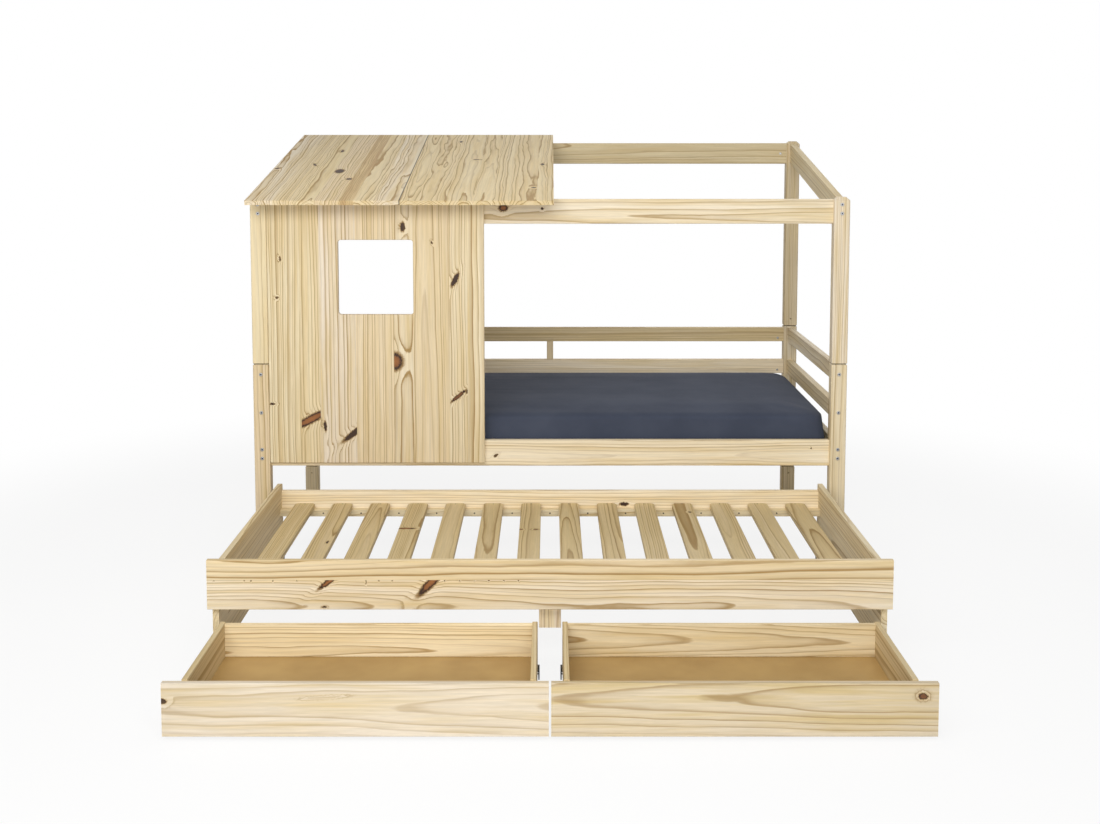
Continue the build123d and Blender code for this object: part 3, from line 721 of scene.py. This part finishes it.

# Slats and their ledgers. Planed pine laths laid side by side, each from its own board, with one
# small screw near each end, and on the trundle one through its back ledger between every two.
slat_count = 14
slat_wide = 70.0
slat_knots = (
    (325.5, 543.5, 26.0, 8.0, 0.0, 0.8),
    (404.0, 530.0, 16.0, 62.0, 0.0, 0.2),
    (520.0, 531.0, 12.0, 14.0, 0.0, 0.0),
    (535.0, 531.0, 12.0, 14.0, 0.0, 0.0),
    (690.0, 514.0, 12.0, 10.0, 0.0, 0.85),
)
# The last column paints shade: the slats are made a little darker, as their tops get less light than
# the fronts
for node, seed, knots, paleness_and_painted_light in (
    ("bed_slats", 81, (), 0.93),
    ("trundle_slats", 83, slat_knots, 0.9),
):
    low, high = (Vector(corner) * 1000.0 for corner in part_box(node))
    slat_pitch = (high.x - low.x - slat_wide) / (slat_count - 1)
    slat_pine = pine(
        f"pine_{node}",
        middle_of(node),
        grain_along_y,
        seed,
        strips=("X", low.x - (slat_pitch - slat_wide) / 2.0, [slat_pitch] * slat_count),
        knots=marks_on(high, (0.0, 0.0, 1.0), knots),
        flat_sawn=0.8,
        paleness_and_painted_light=paleness_and_painted_light,
        tone=0.5,
        warmth=0.65,
        figure=1.2,
    )
    dress(slat_pine, node)
dress(pine("pine_bed_ledgers", middle_of("bed_ledgers"), grain_along_x, 84), "bed_ledgers")

# Trundle. A low box of planed boards. Its front is two laths glued edge to edge, with small dark
# nicks along the glue line.
trundle_low = Vector(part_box("trundle_front")[0]) * 1000.0
trundle_laths = (87.0, 58.0)
glue_line_y = 580.6
trundle_knots = [
    (329.0, 580.5, 84.0, 14.0, 38.0, 0.15),
    (432.0, 580.5, 124.0, 24.0, 47.0, 0.0),
    (323.0, 607.5, 14.0, 6.0, 0.0, 0.85),
]
nick_places = (213, 243, 250, 272, 296, 378, 391, 444, 459, 474, 488, 503, 518)
nick_shape = (2.6, 4.4, 0.0, 0.9)
for x in nick_places:
    trundle_knots.append((float(x), glue_line_y, *nick_shape))
trundle_knots.append((365.0, glue_line_y + 1.0, 3.0, 14.0, 0.0, 0.9))
front_pine = pine(
    "pine_trundle_front",
    middle_of("trundle_front"),
    grain_along_x,
    91,
    strips=("Z", trundle_low.z, trundle_laths),
    knots=marks_on(trundle_low, facing_front, trundle_knots),
    gap=10.0,
    flat_sawn=1.0,
    figure=1.1,
)
dress(front_pine, "trundle_front")
back_board_knots = ((624.1, 506.2, 30.0, 13.0, 0.0, 0.8),)
# The fourth column paints light and shade: the back board is painted lighter, making up for the
# shade it lies in, and the sides a little darker
for node, turn, seed, paleness_and_painted_light, tone, knots in (
    ("trundle_back", grain_along_x, 92, 1.18, 0.2, back_board_knots),
    ("trundle_side_left", grain_along_y_on_edge, 93, 0.98, 0.6, ()),
    ("trundle_side_right", grain_along_y_on_edge, 94, 0.98, 0.4, ()),
    ("trundle_ledgers", grain_along_x, 95, 1.0, 0.4, ()),
):
    marks = marks_on(Vector(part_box(node)[0]) * 1000.0, facing_front, knots)
    board_pine = pine(
        f"pine_{node}", middle_of(node), turn, seed, paleness_and_painted_light=paleness_and_painted_light, tone=tone, knots=marks
    )
    dress(board_pine, node)
block_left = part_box("centre_block")[0][0] * 1000.0
block_staves = (18.0, 22.0, 24.0)
# The block is painted much lighter: painted light where it lies in the shadow of the trundle's front
block_pine = pine(
    "pine_centre_block",
    middle_of("centre_block"),
    grain_along_z,
    96,
    strips=("X", block_left, block_staves),
    paleness_and_painted_light=1.28,
)
dress(block_pine, "centre_block")

# Drawers. Boxes of planed boards with a front wider than the box, on a thin pressed board. The
# left front is paler than the right one.
drawer_low = Vector(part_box("drawer_left_front")[0]) * 1000.0
drawer_knots = {
    "left": ((161.5, 701.0, 22.0, 14.0, 0.0, 0.85), (322.0, 697.5, 70.0, 6.0, 4.0, 1.25)),
    "right": ((922.3, 695.9, 24.0, 17.0, 0.0, 0.6),),
}
# The first value of each front's look, the backs' values and the sides' values multiply the colour
# as painted light and shade: the fronts, which the light reaches most, are painted darker, the left
# back lighter and the sides darker
front_looks = {"left": (0.84, 0.0, 0.0, 0.6), "right": (0.8, 0.0, 0.3, 1.0)}
back_paleness_and_painted_light = {"left": 1.1, "right": 0.98}
for number, hand in enumerate(("left", "right")):
    seed = 100 + 10 * number
    for part, turn, step, paleness_and_painted_light, tone, warmth, figure in (
        ("front", grain_along_x, 1, *front_looks[hand]),
        ("back", grain_along_x, 2, back_paleness_and_painted_light[hand], 0.4, 0.0, 1.0),
        ("side_outer", grain_along_y_on_edge, 3, 0.84, 0.6, 0.4, 0.85),
        ("side_inner", grain_along_y_on_edge, 4, 0.88, 0.6, 0.4, 0.85),
    ):
        node = f"drawer_{hand}_{part}"
        marks = drawer_knots[hand] if part == "front" else ()
        board_pine = pine(
            f"pine_{node}",
            middle_of(node),
            turn,
            seed + step,
            gap=11.0,
            paleness_and_painted_light=paleness_and_painted_light,
            flat_sawn=0.8,
            tone=tone,
            warmth=warmth,
            figure=figure,
            knots=marks_on(drawer_low, facing_front, marks),
        )
        dress(board_pine, node)

# Hardboard is wood pulp pressed smooth: pale brown, with flecks about 2 mm across and broad clouds
flecks_per_metre = 420.0
clouds_per_metre = 9.0
hardboard, tree, shader, place = new_material("hardboard")
pulp = add(
    tree, "ShaderNodeTexNoise", {"Vector": place, "Scale": flecks_per_metre, "Detail": 4.0}
)
blotch = add(
    tree, "ShaderNodeTexNoise", {"Vector": place, "Scale": clouds_per_metre, "Detail": 2.0}
)
tone = add(tree, "ShaderNodeMath", {0: pulp, 1: 0.5, 2: blotch}, operation="MULTIPLY_ADD")
colour = add(
    tree,
    "ShaderNodeValToRGB",
    {0: tone},
    stops=[(0.45, linear("#A3834F")), (1.0, linear("#B6965F"))],
)
tree.links.new(colour.outputs[0], shader.inputs["Base Color"])
shader.inputs["Roughness"].default_value = 0.45
dress(hardboard, "drawer_left_bottom", "drawer_right_bottom")

# Castors. Forks and wheels of black moulded polypropylene. The mould was spark-eroded, which
# gives a fine matt texture that breaks up the highlights.
sparks_per_metre = 1500.0
castor_black, tree, shader, place = new_material("black_polypropylene")
spark = add(tree, "ShaderNodeTexNoise", {"Vector": place, "Scale": sparks_per_metre, "Detail": 2.0})
bump = add(tree, "ShaderNodeBump", {"Height": spark, "Strength": 0.2, "Distance": 0.0002})
tree.links.new(bump.outputs[0], shader.inputs["Normal"])
shader.inputs["Base Color"].default_value = linear("#1B1B1C")
shader.inputs["Roughness"].default_value = 0.48
castor_nodes = [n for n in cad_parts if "castors" in n or "wheels" in n]
dress(castor_black, *castor_nodes)

# Bolts, barrel nuts and pins. Steel with a bright zinc plating, which gives a light grey metal
# with a slightly cloudy gloss.
clouding_per_metre = 900.0
zinc, tree, shader, place = new_material("zinc_plated_steel")
cloudy = add(
    tree, "ShaderNodeTexNoise", {"Vector": place, "Scale": clouding_per_metre, "Detail": 3.0}
)
rough = add(tree, "ShaderNodeMapRange", {"Value": cloudy, "To Min": 0.28, "To Max": 0.46})
tree.links.new(rough.outputs[0], shader.inputs["Roughness"])
shader.inputs["Base Color"].default_value = linear("#A6A6A6")
shader.inputs["Metallic"].default_value = 1.0
dress(zinc, "frame_bolts", "barrel_nuts", "post_pins")

# Bolt faces. Each sunk bolt has a rounded zinc rim round a shallow hexagon socket, which stands on
# the plain head below it and stays under the post's face. The socket's floor is painted near
# black: painted shade for the inside of a deep hole. One piece holds them all.
mottle_per_metre = 1200.0
# Mottled near-black steel: the screw heads' own dark colour, and painted shade on the socket floors
dark_steel_and_socket_shade, tree, shader, place = new_material("oiled_socket_steel")
mottle = add(tree, "ShaderNodeTexNoise", {"Vector": place, "Scale": mottle_per_metre, "Detail": 2.0})
dark_tones = [(0.3, linear("#17181A")), (0.8, linear("#33363B"))]
dark_colour = add(tree, "ShaderNodeValToRGB", {0: mottle}, stops=dark_tones)
tree.links.new(dark_colour.outputs[0], shader.inputs["Base Color"])
shader.inputs["Metallic"].default_value = 0.6
shader.inputs["Roughness"].default_value = 0.5

bolt_count = 36
socket_sides = 6
per_side = 4
rim_sides = socket_sides * per_side
rim_top = 0.0008
rim_profile = ((0.0059, 0.0001), (0.0058, 0.0005), (0.0052, rim_top), (0.0036, rim_top))
socket_radius = 0.0032
socket_floor = 0.00015
socket_profile = ((socket_radius, rim_top), (socket_radius, socket_floor))

bolt_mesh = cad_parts["frame_bolts"].data
per_bolt = len(bolt_mesh.vertices) // bolt_count
bolts_low, bolts_high = (Vector(corner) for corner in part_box("frame_bolts"))
bolts_middle = (bolts_low + bolts_high) / 2.0


def rounded_rings(points, faces, centre, way, profile, sides):
    """Adds rings round a centre, each a radius and a height along the way, joined by faces.

    Gives back the numbers of the last ring's points.
    """
    across = Vector((0.0, 0.0, 1.0)) if abs(way.z) < 0.5 else Vector((1.0, 0.0, 0.0))
    beside = way.cross(across)
    start = len(points)
    for radius, height in profile:
        for step in range(sides):
            angle = 2.0 * math.pi * step / sides
            around = across * math.cos(angle) + beside * math.sin(angle)
            points.append(centre + around * radius + way * height)
    for ring in range(len(profile) - 1):
        for step in range(sides):
            low = start + ring * sides
            after = (step + 1) % sides
            faces.append((low + step, low + after, low + sides + after, low + sides + step))
    last = start + (len(profile) - 1) * sides
    return list(range(last, last + sides))


points, faces, dark_faces = [], [], []
for bolt in range(bolt_count):
    corners = [v.co for v in bolt_mesh.vertices[bolt * per_bolt : (bolt + 1) * per_bolt]]
    low = Vector([min(c[i] for c in corners) for i in range(3)])
    high = Vector([max(c[i] for c in corners) for i in range(3)])
    axis = 0 if high.x - low.x > high.y - low.y else 1
    centre = (low + high) / 2.0
    outward = 1.0 if centre[axis] > bolts_middle[axis] else -1.0
    centre[axis] = high[axis] if outward > 0.0 else low[axis]
    way = Vector([outward if i == axis else 0.0 for i in range(3)])
    mouth = rounded_rings(points, faces, centre, way, rim_profile, rim_sides)
    hexagon = rounded_rings(points, faces, centre, way, socket_profile, socket_sides)
    top = [n - socket_sides for n in hexagon]
    for step in range(rim_sides):
        nearest = step + per_side // 2
        corner = top[nearest // per_side % socket_sides]
        following = top[(nearest + 1) // per_side % socket_sides]
        side = [mouth[step], mouth[(step + 1) % rim_sides], following]
        faces.append(tuple(side + ([corner] if corner != following else [])))
    dark_faces.append(len(faces))
    faces.append(tuple(hexagon))
bolt_faces = mesh_piece("bolt_faces", points, faces, zinc, smooth=False)
bolt_faces.data.materials.append(dark_steel_and_socket_shade)
for number in dark_faces:
    bolt_faces.data.polygons[number].material_index = 1
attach(bolt_faces, "bed")

# Screws. Small countersunk heads, one near each end of every slat, and one through the back
# ledger of the trundle between every two slats.
screw_profile = ((0.0026, -0.0006), (0.0026, 0.0001), (0.0020, 0.0003), (0.0010, 0.0001))
screw_sides = 16
screw_from_end = 0.011
ledger_wide = 0.027
upwards = Vector((0.0, 0.0, 1.0))
forwards = Vector((0.0, -1.0, 0.0))
ledger_low, ledger_high = (Vector(corner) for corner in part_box("trundle_ledgers"))
ledger_face = ledger_high.y - ledger_wide
ledger_middle_z = (ledger_low.z + ledger_high.z) / 2.0
for node, body in (("bed_slats", "bed"), ("trundle_slats", "trundle")):
    points, faces = [], []
    low, high = (Vector(corner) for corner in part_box(node))
    first = low.x + slat_wide / 2000.0
    pitch = (high.x - low.x - slat_wide / 1000.0) / (slat_count - 1)
    places = []
    for slat in range(slat_count):
        x = first + slat * pitch
        for y in (low.y + screw_from_end, high.y - screw_from_end):
            places.append(((x, y, high.z), upwards))
        if body == "trundle" and slat < slat_count - 1:
            places.append(((x + pitch / 2.0, ledger_face, ledger_middle_z), forwards))
    for centre, way in places:
        rim = rounded_rings(points, faces, Vector(centre), way, screw_profile, screw_sides)
        faces.append(tuple(rim))
    screws = mesh_piece(f"{node}_screws", points, faces, dark_steel_and_socket_shade)
    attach(screws, body)

# Mattress. Foam in a dark fitted sheet of plain cotton. The sheet is drawn tight over the block,
# so it stays smooth on top, with faint ripples at one end and gathers under its corners.
# Plain-woven cotton dyed slate blue: matt, with a weave that only just shows. The threads are
# drawn about 0.75 mm apart, coarser than real ones, so that they show at all.
thread_scale = 420.0
rubbed_per_metre = 6.0
sheet_cotton, tree, shader, place = new_material("slate_cotton")
threads = []
for axis in (0, 1):
    turn = (0.0, 0.0, math.radians(90.0 * axis))
    laid = add(tree, "ShaderNodeMapping", {"Vector": place, "Rotation": turn})
    laid = {"Vector": laid, "Scale": thread_scale, "Distortion": 0.6, "Detail": 1.0}
    threads.append(add(tree, "ShaderNodeTexWave", laid).outputs["Fac"])
weave = add(tree, "ShaderNodeMath", {0: threads[0], 1: threads[1]}, operation="MAXIMUM")
rubbed = add(tree, "ShaderNodeTexNoise", {"Vector": place, "Scale": rubbed_per_metre, "Detail": 4.0})
dyes = [(0.35, linear("#424857")), (0.65, linear("#4A505F"))]
dyed = add(tree, "ShaderNodeValToRGB", {0: rubbed}, stops=dyes)
tree.links.new(dyed.outputs[0], shader.inputs["Base Color"])
bump = add(tree, "ShaderNodeBump", {"Height": weave, "Strength": 0.25, "Distance": 0.0002})
tree.links.new(bump.outputs[0], shader.inputs["Normal"])
shader.inputs["Roughness"].default_value = 0.9
shader.inputs["Specular IOR Level"].default_value = 0.12
shader.inputs["Sheen Weight"].default_value = 0.03
shader.inputs["Sheen Roughness"].default_value = 0.5

sheet_low, sheet_high = (Vector(corner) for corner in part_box("mattress"))
sheet_middle = (sheet_low + sheet_high) / 2.0
sheet_thick = sheet_high.z - sheet_low.z

# The foam's corners, in plan: their radius, how square they are low down, and how fast that comes
sheet_corner = 0.075
squarer = 7.0
squarer_by = 1.25

# The cloth starts a little inside the foam's size and is blown up by a few millimetres
sheet_voxel = 0.013
start_smaller = 0.004
held_below = 0.02
cloth_steps = 20
cloth_pressure = 4.0
most_swell = 0.006
crown_more = 0.007

# Gathers run down the corners, from a part of the thickness below the top
gather_deep = 0.0022
gather_pitch = 0.026
gather_reach = 0.05
gather_from = 0.25
gather_to = 0.97
gather_grows = 0.5

# Ripples across the top, about 40 mm apart, strongest towards the house panel
ripple_high = 0.0011
ripple_middle = -0.35
ripple_spread = 0.35
ripples_per_metre = (3.0, 26.0)
ripple_least = 0.25
ripple_level = 0.4
top_normal = 0.8


def settled(piece, kind, **settings):
    """Applies one modifier to a piece's mesh."""
    modifier = piece.modifiers.new(kind, kind)
    for name, value in settings.items():
        setattr(modifier, name, value)
    shown = piece.evaluated_get(bpy.context.evaluated_depsgraph_get())
    mesh = bpy.data.meshes.new_from_object(shown)
    piece.modifiers.clear()
    piece.data = mesh


mattress = bpy.data.objects.new("mattress_in_sheet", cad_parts["mattress"].data.copy())
bpy.context.collection.objects.link(mattress)
for vertex in mattress.data.vertices:
    # The block's corners are squarer low down than the rounded solid's
    reach = (vertex.co - sheet_middle).to_2d()
    heart = (sheet_high - sheet_middle).to_2d() - Vector((sheet_corner, sheet_corner))
    over = Vector((abs(reach.x) - heart.x, abs(reach.y) - heart.y))
    if min(over) > 0.0:
        c, n = over.normalized(), squarer
        more = (c.x**n + c.y**n) ** (-1.0 / n) - 1.0
        low_down = min(1.0, squarer_by * (sheet_high.z - vertex.co.z) / sheet_thick)
        vertex.co.x += math.copysign(over.x * more * low_down, reach.x)
        vertex.co.y += math.copysign(over.y * more * low_down, reach.y)
    for i in range(2):
        vertex.co[i] += start_smaller * (1.0 if vertex.co[i] < sheet_middle[i] else -1.0)
settled(mattress, "REMESH", mode="VOXEL", voxel_size=sheet_voxel, use_smooth_shade=True)
before = [v.co.copy() for v in mattress.data.vertices]
held = mattress.vertex_groups.new(name="rests_on_slats")
held.add([n for n, co in enumerate(before) if co.z < sheet_low.z + held_below], 1.0, "REPLACE")
cloth = mattress.modifiers.new("cloth", "CLOTH")
cloth.settings.use_pressure = True
cloth.settings.uniform_pressure_force = cloth_pressure
cloth.settings.effector_weights.gravity = 0.0
cloth.settings.vertex_group_mass = "rests_on_slats"
for step in range(1, cloth_steps + 1):
    bpy.context.scene.frame_set(step)
shown = mattress.evaluated_get(bpy.context.evaluated_depsgraph_get())
swollen = [v.co.copy() for v in shown.data.vertices]
mattress.modifiers.clear()
bpy.context.scene.frame_set(1)
for vertex, start, end in zip(mattress.data.vertices, before, swollen):
    move = end - start
    if move.length > most_swell:
        move = move.normalized() * most_swell
    vertex.co = start + move
settled(mattress, "SUBSURF", levels=1, render_levels=1)
mattress.data.shade_smooth()
shape = mattress.data.vertices
low_now = Vector([min(v.co[i] for v in shape) for i in range(3)])
high_now = Vector([max(v.co[i] for v in shape) for i in range(3)])
full_size = sheet_high - sheet_low + Vector((0.0, 0.0, crown_more))
for vertex in shape:
    for i in range(3):
        share = (vertex.co[i] - low_now[i]) / (high_now[i] - low_now[i])
        vertex.co[i] = sheet_low[i] + share * full_size[i]
normals = [v.normal.copy() for v in shape]
for vertex, normal in zip(shape, normals):
    x, y, z = vertex.co
    over_x = abs(x - sheet_middle.x) - (sheet_high.x - sheet_middle.x - sheet_corner)
    over_y = abs(y - sheet_middle.y) - (sheet_high.y - sheet_middle.y - sheet_corner)
    down = (sheet_high.z - z) / sheet_thick
    inside = gather_reach + min(over_x, over_y, 0.0)
    if inside > 0.0 and gather_from < down < gather_to:
        along = math.atan2(max(over_y, 0.0), max(over_x, 0.0)) * sheet_corner
        along += min(over_x, 0.0) - min(over_y, 0.0)
        fade = min(1.0, (down - gather_from) / gather_grows) * inside / gather_reach
        fold = 0.5 - 0.5 * math.cos(2.0 * math.pi * along / gather_pitch)
        vertex.co -= normal * (gather_deep * fold * fade)
    if normal.z > top_normal:
        near_end = math.exp(-(((x - ripple_middle) / ripple_spread) ** 2))
        spot = Vector((x * ripples_per_metre[0], y * ripples_per_metre[1], 0.0))
        strong = ripple_least + (1.0 - ripple_least) * near_end
        vertex.co.z += ripple_high * strong * (noise.noise(spot) - ripple_level)
mattress.data.materials.clear()
mattress.data.materials.append(sheet_cotton)
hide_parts("mattress")
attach(mattress, "bed")
